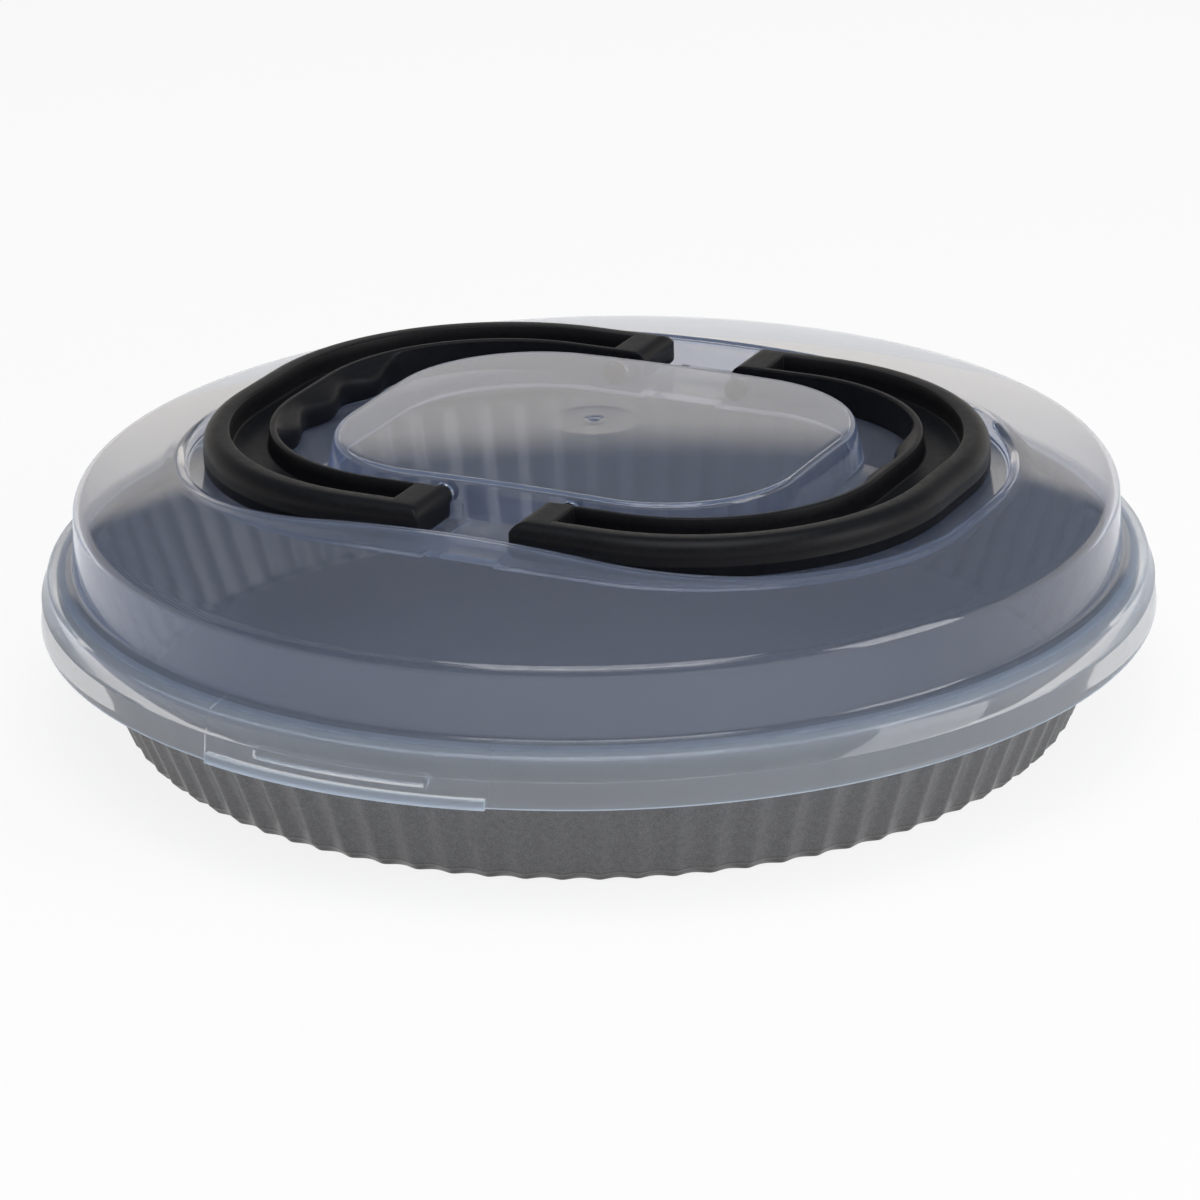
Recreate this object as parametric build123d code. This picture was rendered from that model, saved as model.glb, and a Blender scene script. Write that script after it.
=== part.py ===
from build123d import *
import math
import os

os.makedirs("parts", exist_ok=True)

# Fluted pan, lengths in millimetres
flute_count = 84
pan_height = 42.6
pan_foot_radius = 132.6
pan_mouth_radius = 146.8
pan_sheet = 1.0
foot_bevel = 2.5
flute_depth = 1.4
ridge_share = 0.44
rim_wire_radius = 2.5
rim_overhang = 0.6
flute_fade = 2.5
neck_drop = 0.2

# Lid skirt and dome
lid_sheet = 1.6
lid_seat_gap = 0.3
rim_side_gap = 1.1
shoulder_height = 6.0
shoulder_flare = 1.7
skirt_height = 7.6
skirt_flare = 0.7
ledge_rise = 2.05
ledge_width = 7.1
dome_wall_height = 18.6
dome_wall_lean = 1.0
dome_rise = 20.6
ledge_edge_round = 1.2
dome_foot_round = 1.6
dome_edge_round = 4.0

# Handle bed and island in the top of the lid
bed_floor_rise = 38.6
bed_side_gap = 2.2
bed_draft = 2.0
island_half_length = 70.2
island_half_width = 56.6
island_corner = 41.0
island_draft = 10.0
island_crown_rise = 51.7
island_crown_radius = 1300.0
island_edge_round = 2.0
gate_radius = 12.0
gate_depth = 0.5

# Fold-up handles, set out from the island by the gaps beside it
core_y = 10.0
arm_gap = 3.9
finger_gap = 17.3
inner_rim = 2.0
channel_width = 11.0
outer_rim = 7.5
handle_thickness = 10.0
handle_lift = 1.4
channel_depth = 6.2
channel_draft = 4.0
channel_end_wall = 5.0
outer_edge_round = 4.4
channel_edge_bevel = 0.5

# Finger waves along the inside of each handle
wave_count = 3
wave_pitch = 23.5
wave_height = 2.6
wave_swell = 5.6
wave_brow_rise = 3.7
wave_shoulder_rise = 6.5
wave_undercut = 0.9
wave_crest_lap = 0.3

# Hinges
pivot_x = 19.0
tip_reach = 5.5
tip_round = 3.6
tip_gap = 0.9
pin_radius = 3.0
pin_length = 10.5
pin_chamfer = 0.7
pin_running_gap = 0.08

# Thumb tabs and snap beads on the skirt
tab_half_angle = 14.6
tab_height = 2.8
tab_reach = 1.6
snap_length = 51.0
snap_height = 3.1
snap_dent = 0.5
snap_bead = 0.7

# Handle outline, as distances outside a core rectangle round which both handles bend
grip_inner = island_half_width + arm_gap - core_y
core_x = island_half_length + finger_gap - grip_inner
channel_inner = grip_inner + inner_rim
channel_outer = channel_inner + channel_width
handle_outer = channel_outer + outer_rim

# Heights that follow from the pan up
rim_z = pan_height - rim_wire_radius
rim_radius = pan_mouth_radius + rim_overhang
ledge_radius = rim_radius + rim_wire_radius + rim_side_gap + lid_sheet
ledge_lean = math.atan2(ledge_rise, ledge_width)
seat_offset = (rim_wire_radius + lid_seat_gap + lid_sheet) / math.cos(ledge_lean)
ledge_z = rim_z + seat_offset - (ledge_radius - rim_radius) * math.tan(ledge_lean)
shoulder_z = ledge_z - shoulder_height
skirt_z = shoulder_z - skirt_height
shoulder_radius = ledge_radius + shoulder_flare
skirt_radius = shoulder_radius + skirt_flare
dome_foot_radius = ledge_radius - ledge_width
dome_foot_z = ledge_z + ledge_rise
dome_edge_radius = dome_foot_radius - dome_wall_lean
dome_edge_z = dome_foot_z + dome_wall_height
crown_z = dome_edge_z + dome_rise
dome_sphere = (dome_edge_radius**2 + dome_rise**2) / (2 * dome_rise)
bed_floor_z = skirt_z + bed_floor_rise
bed_outer = handle_outer + bed_side_gap
handle_z = bed_floor_z + handle_lift
handle_top_z = handle_z + handle_thickness
pivot_z = handle_z + handle_thickness / 2
tip_x = pivot_x - tip_reach
channel_start = pivot_x + channel_end_wall
bridge_half = tip_x - tip_gap


def dome_height(radius):
    """Height of the dome's crown at a distance from its axis."""
    return crown_z - dome_sphere + math.sqrt(dome_sphere**2 - radius**2)


bridge_z = dome_height(core_y + bed_outer)


def polar(radius, degrees, z=0.0):
    """Point at an angle round the pan's axis."""
    turn = math.radians(degrees)
    return Vector(radius * math.cos(turn), radius * math.sin(turn), z)


def fluted_outline(radius, z, depth):
    """Closed smooth outline of ridges and valleys about a mean radius."""
    pitch = 360.0 / flute_count
    half_ridge = ridge_share * pitch / 2
    points = []
    for index in range(flute_count):
        middle = index * pitch
        points.append(polar(radius + depth / 2, middle, z))
        points.append(polar(radius, middle + half_ridge, z))
        points.append(polar(radius - depth / 2, middle + pitch / 2, z))
        points.append(polar(radius, middle + pitch - half_ridge, z))
    return Wire([Spline(*points, periodic=True)])


def make_pan():
    """Fluted sheet cup, lofted up its outside and down its inside, with a rolled rim."""
    neck_z = rim_z - rim_wire_radius - neck_drop
    fade_z = neck_z - flute_fade
    slope = (pan_mouth_radius - pan_foot_radius) / (neck_z - foot_bevel)
    fade_radius = pan_mouth_radius - flute_fade * slope
    side_wall = pan_sheet * math.sqrt(1 + slope**2)
    bevel_wall = pan_sheet * math.sqrt(2)
    outside = [
        (pan_foot_radius - foot_bevel, 0.0, flute_depth),
        (pan_foot_radius, foot_bevel, flute_depth),
        (fade_radius, fade_z, flute_depth),
        (pan_mouth_radius, neck_z, 0.0),
        (pan_mouth_radius, rim_z, 0.0),
    ]
    inside = [
        (pan_mouth_radius - pan_sheet, rim_z, 0.0),
        (pan_mouth_radius - pan_sheet, neck_z, 0.0),
        (fade_radius - side_wall, fade_z, flute_depth),
        (pan_foot_radius - side_wall, foot_bevel, flute_depth),
        (pan_foot_radius - foot_bevel + pan_sheet - bevel_wall, pan_sheet, flute_depth),
    ]
    levels = [fluted_outline(radius, z, depth) for radius, z, depth in outside + inside]
    cup = Solid.make_loft(levels, ruled=True)
    bead = Pos(rim_radius, rim_z) * Circle(rim_wire_radius)
    return cup + revolve(Plane.XZ * bead, Axis.Z)


def lid_envelope(inset):
    """Solid inside of the lid's outline, moved inward, open below the skirt."""
    below = 8.0
    flare = below * skirt_flare / skirt_height
    side = [
        (skirt_radius + flare, skirt_z - below),
        (shoulder_radius, shoulder_z),
        (ledge_radius, ledge_z),
        (dome_foot_radius, dome_foot_z),
        (dome_edge_radius, dome_edge_z),
    ]
    right = Polyline(*side)
    left = Polyline(*[(-x, z) for x, z in side])
    crown = ThreePointArc(side[-1], (0, crown_z), (-side[-1][0], side[-1][1]))
    base = Line(side[0], (-side[0][0], side[0][1]))
    outline = make_face(Curve() + [right, left, crown, base])
    rounds = [(ledge_z, ledge_edge_round), (dome_foot_z, dome_foot_round), (dome_edge_z, dome_edge_round)]
    for height, size in rounds:
        corners = [v for v in outline.vertices() if abs(v.Y - height) < 0.01]
        outline = fillet(corners, size)
    if inset > 0:
        outline = offset(outline, amount=-inset)
    tall = crown_z + below
    half = outline & (Pos(skirt_radius, tall / 2) * Rectangle(2 * skirt_radius, 2 * tall))
    return revolve(Plane.XZ * half, Axis.Z)


def gate_hollow(grow):
    """Lens that sinks a shallow round hollow in the crown, grown for the underside."""
    ball = (gate_radius**2 + gate_depth**2) / (2 * gate_depth)
    top = skirt_z + island_crown_rise
    near = Pos(0, 0, top) * Cylinder(1.5 * gate_radius, 2 * (lid_sheet + gate_depth))
    return near & (Pos(0, 0, top - gate_depth + ball) * Rot(90, 0, 0) * Sphere(ball + grow))


def bed_tool(grow):
    """Handle bed sunk round the island, grown by the sheet for the underside."""
    reach = bed_outer + grow
    outline = RectangleRounded(2 * (core_x + reach), 2 * (core_y + reach), reach)
    floor = bed_floor_z - grow
    tall = crown_z - floor + 5.0
    tool = extrude(Pos(0, 0, floor) * outline, tall, taper=-bed_draft)
    island_plan = RectangleRounded(
        2 * (island_half_length - grow), 2 * (island_half_width - grow), island_corner - grow
    )
    top = skirt_z + island_crown_rise - grow
    island = extrude(Pos(0, 0, floor) * island_plan, top - floor + 3.0, taper=island_draft)
    ball = island_crown_radius - grow
    island = island & (Pos(0, 0, top - ball) * Rot(90, 0, 0) * Sphere(ball))
    if grow == 0:
        crown_edges = island.faces().filter_by(GeomType.SPHERE).edges()
        island = fillet(crown_edges, island_edge_round)
    island -= gate_hollow(grow)
    bridge_wide = 2 * (bridge_half - grow)
    bridge_tall = bridge_z - grow - floor
    bridge = Pos(0, 0, floor + bridge_tall / 2) * Box(bridge_wide, 4 * reach, bridge_tall)
    return tool - island - bridge


def skirt_band(inset_out, inset_in):
    """Thin layer of the skirt between two depths below its outside."""
    return lid_envelope(inset_out) - lid_envelope(inset_in)


def make_lid():
    """Clear lid: skirt, ledge, dome, handle bed, hinge holes and snap tabs."""
    outer = lid_envelope(0) - bed_tool(0)
    inner = lid_envelope(lid_sheet) - bed_tool(lid_sheet)
    lid = outer - inner
    below = 10.0
    lid -= Pos(0, 0, skirt_z - below) * Cylinder(2 * skirt_radius, 2 * below)
    for side in (-1, 1):
        hole = Cylinder(pin_radius + pin_running_gap, 2 * (island_half_width + 1.0))
        lid -= Pos(side * pivot_x, 0, pivot_z) * Rot(90, 0, 0) * hole
    slot = extrude(Plane.XZ * SlotOverall(snap_length, snap_height), 2 * skirt_radius)
    slot = Pos(0, 0, shoulder_z - snap_height / 2) * slot
    dent = slot & skirt_band(0, snap_dent)
    bead = slot & skirt_band(lid_sheet - 0.2, lid_sheet + snap_bead)
    lip = Pos(skirt_radius + tab_reach / 2 - 0.5, skirt_z + tab_height / 2) * Rectangle(
        tab_reach + 1.0, tab_height
    )
    lip = revolve(Plane.XZ * lip, Axis.Z, revolution_arc=2 * tab_half_angle)
    for side in (0, 180):
        lid -= Rot(0, 0, side) * dent
        lid += Rot(0, 0, side) * bead
        lid += Rot(0, 0, side - 90 - tab_half_angle) * lip
    return lid


def horseshoe(reach, start):
    """Face round the core rectangle, square at its open end."""
    wide = core_y + reach
    line = Polyline((core_x, -wide), (start, -wide), (start, wide), (core_x, wide))
    slant = reach * math.sqrt(0.5)
    upper = ThreePointArc((core_x, wide), (core_x + slant, core_y + slant), (core_x + reach, core_y))
    flat = Line((core_x + reach, core_y), (core_x + reach, -core_y))
    lower = ThreePointArc((core_x + reach, -core_y), (core_x + slant, -core_y - slant), (core_x, -wide))
    return make_face(Curve() + [line, upper, flat, lower])


def wave_outline(swell, wave):
    """Face whose inner edge waves along the middle of the grip, its back hidden in the grip."""
    crest = core_x + grip_inner - swell
    hollow = crest + wave
    deep = core_x + (grip_inner + channel_inner) / 2
    half_span = (wave_count - 1) / 2 * wave_pitch
    points = []
    for index in range(2 * wave_count - 1):
        y = index * wave_pitch / 2 - half_span
        bend = channel_inner - math.sqrt(channel_inner**2 - max(0, abs(y) - core_y) ** 2)
        points.append(((crest if index % 2 == 0 else hollow) - bend, y))
    run = wave_pitch * 0.62
    far_y = half_span + run
    far_bend = channel_inner - math.sqrt(channel_inner**2 - (far_y - core_y) ** 2)
    ends = [(deep - far_bend, -far_y), (deep - far_bend, far_y)]
    curve = Spline(ends[0], *points, ends[1])
    corner_y = far_y - wave_pitch / 2
    back = Polyline(ends[1], (deep + 1.0, corner_y), (deep + 1.0, -corner_y), ends[0])
    return make_face(Curve() + [curve, back])


def finger_pad():
    """Sculpted pad: its waves bulge at the brow and run out into a smooth crest at the top."""
    levels = [
        (0.0, wave_swell - wave_undercut, wave_height),
        (wave_brow_rise, wave_swell, wave_height),
        (wave_shoulder_rise, wave_swell - wave_undercut, wave_height),
        (handle_thickness, -wave_crest_lap, 0.0),
    ]
    return loft([Pos(0, 0, handle_z + rise) * wave_outline(swell, wave) for rise, swell, wave in levels])


def channel_tool():
    """Drafted channel sunk along the top of a handle, with a bevelled mouth."""
    run = channel_depth * math.tan(math.radians(channel_draft))
    levels = [(channel_depth, run), (channel_edge_bevel, 0.0), (0.0, -channel_edge_bevel)]
    outside = []
    inside = []
    for depth, inset in levels:
        level = Pos(0, 0, handle_top_z - depth)
        outside.append(level * horseshoe(channel_outer - inset, channel_start + inset))
        inside.append(level * horseshoe(channel_inner + inset, channel_start - 2 * channel_edge_bevel))
    return loft(outside, ruled=True) - loft(inside, ruled=True)


def outside_core(point):
    """Distance of a point outside the core rectangle, seen from above."""
    return math.hypot(max(0, abs(point.X) - core_x), max(0, abs(point.Y) - core_y))


def make_handle():
    """Right handle: channelled horseshoe with end blocks and hinge pins."""
    plan = horseshoe(handle_outer, tip_x) - horseshoe(grip_inner, tip_x - 1.0)
    body = extrude(Pos(0, 0, handle_z) * plan, handle_thickness)
    tips = body.faces().sort_by(Axis.X)[:2].edges().filter_by(Axis.Y)
    body = fillet(tips, tip_round)
    top_edges = body.edges().group_by(Axis.Z)[-1]
    outside = [e for e in top_edges if min(outside_core(e @ 0.1), outside_core(e @ 0.9)) > channel_outer]
    body = fillet(outside, outer_edge_round)
    middle = Pos(0, 0, handle_z) * horseshoe((channel_inner + channel_outer) / 2, tip_x)
    body += finger_pad() & extrude(middle, handle_thickness)
    body -= channel_tool()
    for side in (-1, 1):
        long = pin_length
        pin = Cylinder(pin_radius, long)
        pin = chamfer(pin.edges().group_by(Axis.Z)[-1], pin_chamfer)
        start_y = core_y + grip_inner + 0.5
        pin = Pos(pivot_x, side * (start_y - long / 2), pivot_z) * Rot(90 * side, 0, 0) * pin
        body += pin
    return body


pan = make_pan()
lid = make_lid()
handle_right = make_handle()
handle_left = mirror(handle_right, about=Plane.YZ)

for name, solid in {
    "pan": pan,
    "lid": lid,
    "handle_right": handle_right,
    "handle_left": handle_left,
}.items():
    export_step(solid, f"parts/{name}.step")
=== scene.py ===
import math

import bmesh
import bpy
from mathutils import Matrix, Vector


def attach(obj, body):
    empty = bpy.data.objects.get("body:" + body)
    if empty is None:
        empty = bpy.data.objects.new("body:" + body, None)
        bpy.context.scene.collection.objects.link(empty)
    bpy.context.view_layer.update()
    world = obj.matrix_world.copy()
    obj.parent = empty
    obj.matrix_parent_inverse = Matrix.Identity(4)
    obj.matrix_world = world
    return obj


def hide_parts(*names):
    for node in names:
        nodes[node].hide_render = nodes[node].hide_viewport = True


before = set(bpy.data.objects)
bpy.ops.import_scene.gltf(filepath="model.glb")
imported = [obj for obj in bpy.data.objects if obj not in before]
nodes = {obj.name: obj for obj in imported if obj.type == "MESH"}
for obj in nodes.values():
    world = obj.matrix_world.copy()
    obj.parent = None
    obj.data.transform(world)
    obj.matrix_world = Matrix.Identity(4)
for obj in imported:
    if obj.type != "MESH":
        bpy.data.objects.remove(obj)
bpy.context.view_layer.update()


# Camera: the photograph's place, lens and small roll
CAMERA_TARGET = Vector((0.0, 0.0, 0.029578))
CAMERA_ELEVATION = 20.89
CAMERA_AZIMUTH = 26.3
CAMERA_DISTANCE = 1.6
CAMERA_LENS = 172.06
CAMERA_SENSOR = 36.0
CAMERA_SHIFT_X = 0.0012
CAMERA_SHIFT_Y = -0.0054
CAMERA_ROLL = 1.3


def place_camera():
    """Camera on the photograph's line of sight."""
    up = math.radians(CAMERA_ELEVATION)
    round_z = math.radians(CAMERA_AZIMUTH)
    outward = Vector((
        math.sin(round_z) * math.cos(up),
        -math.cos(round_z) * math.cos(up),
        math.sin(up),
    ))
    lens = bpy.data.cameras.new("photo_camera")
    lens.sensor_width = CAMERA_SENSOR
    lens.lens = CAMERA_LENS
    lens.shift_x = CAMERA_SHIFT_X
    lens.shift_y = CAMERA_SHIFT_Y
    lens.clip_start = 0.05
    lens.clip_end = 50.0
    camera = bpy.data.objects.new("photo_camera", lens)
    bpy.context.scene.collection.objects.link(camera)
    turn = outward.to_track_quat("Z", "Y").to_matrix().to_4x4()
    roll = Matrix.Rotation(math.radians(-CAMERA_ROLL), 4, "Z")
    place = Matrix.Translation(CAMERA_TARGET + outward * CAMERA_DISTANCE)
    camera.matrix_world = place @ turn @ roll
    bpy.context.scene.camera = camera


def add_lamp(name, place, aim, size, watts, shines=True, size_y=None):
    """Soft rectangular studio lamp aimed at a point; one that doesn't shine leaves no reflection."""
    lamp = bpy.data.lights.new(name, "AREA")
    lamp.shape = "RECTANGLE"
    lamp.size = size
    lamp.size_y = size_y or size
    lamp.energy = watts
    made = bpy.data.objects.new(name, lamp)
    bpy.context.scene.collection.objects.link(made)
    away = Vector(place) - Vector(aim)
    turn = away.to_track_quat("Z", "Y").to_matrix().to_4x4()
    made.matrix_world = Matrix.Translation(place) @ turn
    made.visible_glossy = shines
    made.visible_transmission = shines


# Small node tools

MIX_FLOATS = 2
MIX_COLOURS = 6


def wire(tree, source, target):
    tree.links.new(source, target)


def node(tree, kind, sockets=None, **settings):
    """New node with its settings, and values for its sockets by name or number."""
    made = tree.nodes.new(kind)
    for name, value in settings.items():
        setattr(made, name, value)
    for name, value in (sockets or {}).items():
        made.inputs[name].default_value = value
    return made


def blank_material(name):
    material = bpy.data.materials.new(name)
    material.use_nodes = True
    material.node_tree.nodes.clear()
    return material


def fade(tree, value, start, end):
    """Mask that goes from 0 at the start of a range to 1 at its end."""
    mask = node(tree, "ShaderNodeMapRange", {"From Min": start, "From Max": end})
    wire(tree, value, mask.inputs["Value"])
    return mask.outputs["Result"]


def combine(tree, operation, first, second):
    """Two masks put together by one step of arithmetic."""
    made = node(tree, "ShaderNodeMath", operation=operation)
    wire(tree, first, made.inputs[0])
    wire(tree, second, made.inputs[1])
    return made.outputs[0]


def blend(tree, mask, low, high):
    """From low to high by a mask; each is a number, a colour or another node's output."""
    colours = isinstance(low, tuple) or isinstance(high, tuple)
    mix = node(tree, "ShaderNodeMix", data_type="RGBA" if colours else "FLOAT")
    wire(tree, mask, mix.inputs[0])
    first = MIX_COLOURS if colours else MIX_FLOATS
    for number, end in ((first, low), (first + 1, high)):
        if isinstance(end, bpy.types.NodeSocket):
            wire(tree, end, mix.inputs[number])
        else:
            mix.inputs[number].default_value = (*end, 1.0) if colours else end
    return mix.outputs[2 if colours else 0]


def mix_shaders(tree, share, first, second):
    mix = node(tree, "ShaderNodeMixShader")
    wire(tree, share, mix.inputs[0])
    wire(tree, first, mix.inputs[1])
    wire(tree, second, mix.inputs[2])
    return mix.outputs["Shader"]


def finish_surface(tree, shader):
    out = node(tree, "ShaderNodeOutputMaterial")
    wire(tree, shader, out.inputs["Surface"])


# Shared effects

COARSE_GRAIN_SCALE = 0.22
GRAIN_LOW = 0.34
GRAIN_HIGH = 0.66


def fine_grain_group():
    """Small even grain: a mask from 0 to 1 and a height for bumps."""
    group = bpy.data.node_groups.new("fine_grain", "ShaderNodeTree")
    face = group.interface
    face.new_socket("Vector", in_out="INPUT", socket_type="NodeSocketVector")
    face.new_socket("Scale", in_out="INPUT", socket_type="NodeSocketFloat")
    face.new_socket("Coarse Share", in_out="INPUT", socket_type="NodeSocketFloat")
    face.new_socket("Mask", in_out="OUTPUT", socket_type="NodeSocketFloat")
    face.new_socket("Height", in_out="OUTPUT", socket_type="NodeSocketFloat")
    start = node(group, "NodeGroupInput")
    end = node(group, "NodeGroupOutput")
    fine = node(group, "ShaderNodeTexNoise", {"Detail": 2.0, "Roughness": 0.6})
    coarse = node(group, "ShaderNodeTexNoise", {"Detail": 3.0})
    coarse_scale = node(group, "ShaderNodeMath", {1: COARSE_GRAIN_SCALE}, operation="MULTIPLY")
    both = node(group, "ShaderNodeMix", data_type="FLOAT")
    wire(group, start.outputs["Vector"], fine.inputs["Vector"])
    wire(group, start.outputs["Vector"], coarse.inputs["Vector"])
    wire(group, start.outputs["Scale"], fine.inputs["Scale"])
    wire(group, start.outputs["Scale"], coarse_scale.inputs[0])
    wire(group, coarse_scale.outputs[0], coarse.inputs["Scale"])
    wire(group, start.outputs["Coarse Share"], both.inputs["Factor"])
    wire(group, fine.outputs["Fac"], both.inputs["A"])
    wire(group, coarse.outputs["Fac"], both.inputs["B"])
    wire(group, fade(group, both.outputs["Result"], GRAIN_LOW, GRAIN_HIGH), end.inputs["Mask"])
    wire(group, both.outputs["Result"], end.inputs["Height"])


def grain(tree, place, scale, coarse_share):
    """The grain group on the piece's own coordinates."""
    group = node(tree, "ShaderNodeGroup")
    group.node_tree = bpy.data.node_groups["fine_grain"]
    group.inputs["Scale"].default_value = scale
    group.inputs["Coarse Share"].default_value = coarse_share
    wire(tree, place, group.inputs["Vector"])
    return group


def grainy_surface(tree, shader, texture, colours, roughness, strength, depth):
    """Roughness and bump of a moulded or coated surface, and its colour, which is handed back."""
    colour = blend(tree, texture.outputs["Mask"], *colours)
    wire(tree, colour, shader.inputs["Base Color"])
    wire(tree, blend(tree, texture.outputs["Mask"], *roughness), shader.inputs["Roughness"])
    bump = node(tree, "ShaderNodeBump", {"Strength": strength, "Distance": depth})
    wire(tree, texture.outputs["Height"], bump.inputs["Height"])
    wire(tree, bump.outputs["Normal"], shader.inputs["Normal"])
    return colour


def reach_and_height(tree, place):
    """Distance from the pan's axis and height, both in metres."""
    split = node(tree, "ShaderNodeSeparateXYZ")
    wire(tree, place, split.inputs[0])
    plan = node(tree, "ShaderNodeCombineXYZ")
    wire(tree, split.outputs["X"], plan.inputs["X"])
    wire(tree, split.outputs["Y"], plan.inputs["Y"])
    reach = node(tree, "ShaderNodeVectorMath", operation="LENGTH")
    wire(tree, plan.outputs["Vector"], reach.inputs[0])
    return reach.outputs["Value"], split.outputs["Z"]


# Dark pan

PAN_COLOURS = ((0.085, 0.085, 0.088), (0.16, 0.16, 0.165))
PAN_ROUGHNESS = (0.42, 0.30)
PAN_METAL = 0.45
# Painted shade: a near-black band round the outer edge of the base, where it meets the floor.
PAN_FOOT_PAINTED_SHADE = (0.012, 0.012, 0.013)
PAN_FOOT_SHADE_HEIGHTS = (0.0032, 0.0012)
PAN_FOOT_SHADE_REACH = (0.1300, 0.1312)


def pan_coating():
    """Dark non-stick coat with fine metal flakes, with painted shade darkening the outer edge of the base.
    """
    material = blank_material("pan_coating")
    tree = material.node_tree
    place = node(tree, "ShaderNodeTexCoord").outputs["Object"]
    flakes = grain(tree, place, scale=2600.0, coarse_share=0.25)
    coat = node(tree, "ShaderNodeBsdfPrincipled", {"Metallic": PAN_METAL})
    reach, height = reach_and_height(tree, place)
    # Painted shade along the outer edge of the base, low down and far out.
    low = fade(tree, height, *PAN_FOOT_SHADE_HEIGHTS)
    foot = combine(tree, "MULTIPLY", low, fade(tree, reach, *PAN_FOOT_SHADE_REACH))
    speckle = grainy_surface(tree, coat, flakes, PAN_COLOURS, PAN_ROUGHNESS, strength=0.22, depth=0.00004)
    wire(tree, blend(tree, foot, speckle, PAN_FOOT_PAINTED_SHADE), coat.inputs["Base Color"])
    finish_surface(tree, coat.outputs["BSDF"])
    return material


# Black handles

HANDLE_COLOURS = ((0.0035, 0.0036, 0.0048), (0.0075, 0.0077, 0.0095))
HANDLE_ROUGHNESS = (0.38, 0.50)
HANDLE_SPECULAR = 0.17


def handle_plastic():
    """Matte black moulded plastic with a fine spark texture."""
    material = blank_material("handle_plastic")
    tree = material.node_tree
    place = node(tree, "ShaderNodeTexCoord").outputs["Object"]
    texture = grain(tree, place, scale=1500.0, coarse_share=0.35)
    black = node(tree, "ShaderNodeBsdfPrincipled", {"Specular IOR Level": HANDLE_SPECULAR})
    grainy_surface(tree, black, texture, HANDLE_COLOURS, HANDLE_ROUGHNESS, strength=0.30, depth=0.00006)
    finish_surface(tree, black.outputs["BSDF"])
    return material


# Clear lid

LID_COLOURS = ((0.84, 0.825, 0.805), (0.87, 0.855, 0.835))
LID_ROUGHNESS = (0.025, 0.040)
LID_GLASS = {"IOR": 1.49, "Transmission Weight": 0.97}
LID_SHADOW = (0.70, 0.77, 0.90, 1.0)
# Milk for the dome and the skirt. The skirt's lighter colour and larger share are partly painted light,
# standing in for reflections between its layers.
MILK_COLOURS_WITH_PAINTED_LIGHT = ((0.36, 0.54, 0.95), (0.80, 0.89, 1.0))
MILK_ON_DOME = 0.10
MILK_AND_PAINTED_REFLECTION_ON_SKIRT = 0.24
MILK_AND_PAINTED_HIGHLIGHT_ON_EDGES = 0.55
SKIRT_HEIGHTS = (0.0465, 0.0445)
LIP_REACHES = (0.15525, 0.15560)
SKIRT_EDGE_HEIGHTS = (0.03020, 0.02990)
# Painted highlight: a bright band of milk round the ledge's bead.
LEDGE_BEAD_PAINTED_HIGHLIGHT = {1: 0.1487, 2: 0.0011}


def milky_edges_and_painted_highlight(tree, reach, height):
    """1 where the plastic is thick or cut across, at the lip and the skirt's edge, and on the ledge's bead,
    where it makes a painted highlight.
    """
    lip = fade(tree, reach, *LIP_REACHES)
    skirt_edge = fade(tree, height, *SKIRT_EDGE_HEIGHTS)
    bead = node(tree, "ShaderNodeMath", LEDGE_BEAD_PAINTED_HIGHLIGHT, operation="COMPARE")
    wire(tree, reach, bead.inputs[0])
    edges = combine(tree, "MAXIMUM", lip, skirt_edge)
    return combine(tree, "MAXIMUM", edges, bead.outputs[0])


def clear_lid():
    """Thin clear moulded plastic with a faint haze, milkier on the skirt, where the extra milk is painted
    light for reflections between its layers, and most on its edges, with a painted highlight on the ledge's
    bead.
    """
    material = blank_material("clear_lid")
    tree = material.node_tree
    place = node(tree, "ShaderNodeTexCoord").outputs["Object"]
    haze = grain(tree, place, scale=60.0, coarse_share=0.5)
    clear = node(tree, "ShaderNodeBsdfPrincipled", LID_GLASS)
    grainy_surface(tree, clear, haze, LID_COLOURS, LID_ROUGHNESS, strength=0.012, depth=0.0001)
    reach, height = reach_and_height(tree, place)
    skirt = fade(tree, height, *SKIRT_HEIGHTS)
    milk = node(tree, "ShaderNodeBsdfTranslucent")
    wire(tree, blend(tree, skirt, *MILK_COLOURS_WITH_PAINTED_LIGHT), milk.inputs["Color"])
    # Painted light: extra milk on the skirt stands in for reflections between its layers, and extra milk on
    # the ledge's bead stands in for a highlight.
    milk_and_painted_reflection = blend(tree, skirt, MILK_ON_DOME, MILK_AND_PAINTED_REFLECTION_ON_SKIRT)
    share = blend(tree, milky_edges_and_painted_highlight(tree, reach, height), milk_and_painted_reflection, MILK_AND_PAINTED_HIGHLIGHT_ON_EDGES)
    milky = mix_shaders(tree, share, clear.outputs["BSDF"], milk.outputs["BSDF"])
    let_light = node(tree, "ShaderNodeBsdfTransparent", {"Color": LID_SHADOW})
    path = node(tree, "ShaderNodeLightPath")
    both = mix_shaders(tree, path.outputs["Is Shadow Ray"], milky, let_light.outputs["BSDF"])
    finish_surface(tree, both)
    return material


# Studio

FLOOR_PAPER = (0.85, 0.85, 0.85, 1.0)
FLOOR_SHOWN_WHITE = 0.85
SOFT_LIGHT = 0.40
BACKDROP_EDGE = (0.335, 0.375)
BACKDROP_SIDES = ((0.62, 0.59, 0.55), (1.0, 0.95, 0.88))
BACKDROP_RIGHT = (0.896, 0.443, 0.0)
BACKDROP_FADE = (-0.9, 0.1)
UPPER_ROOM = (0.10, 0.12, 0.15)
WHITE = (1.0, 1.0, 1.0)


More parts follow.
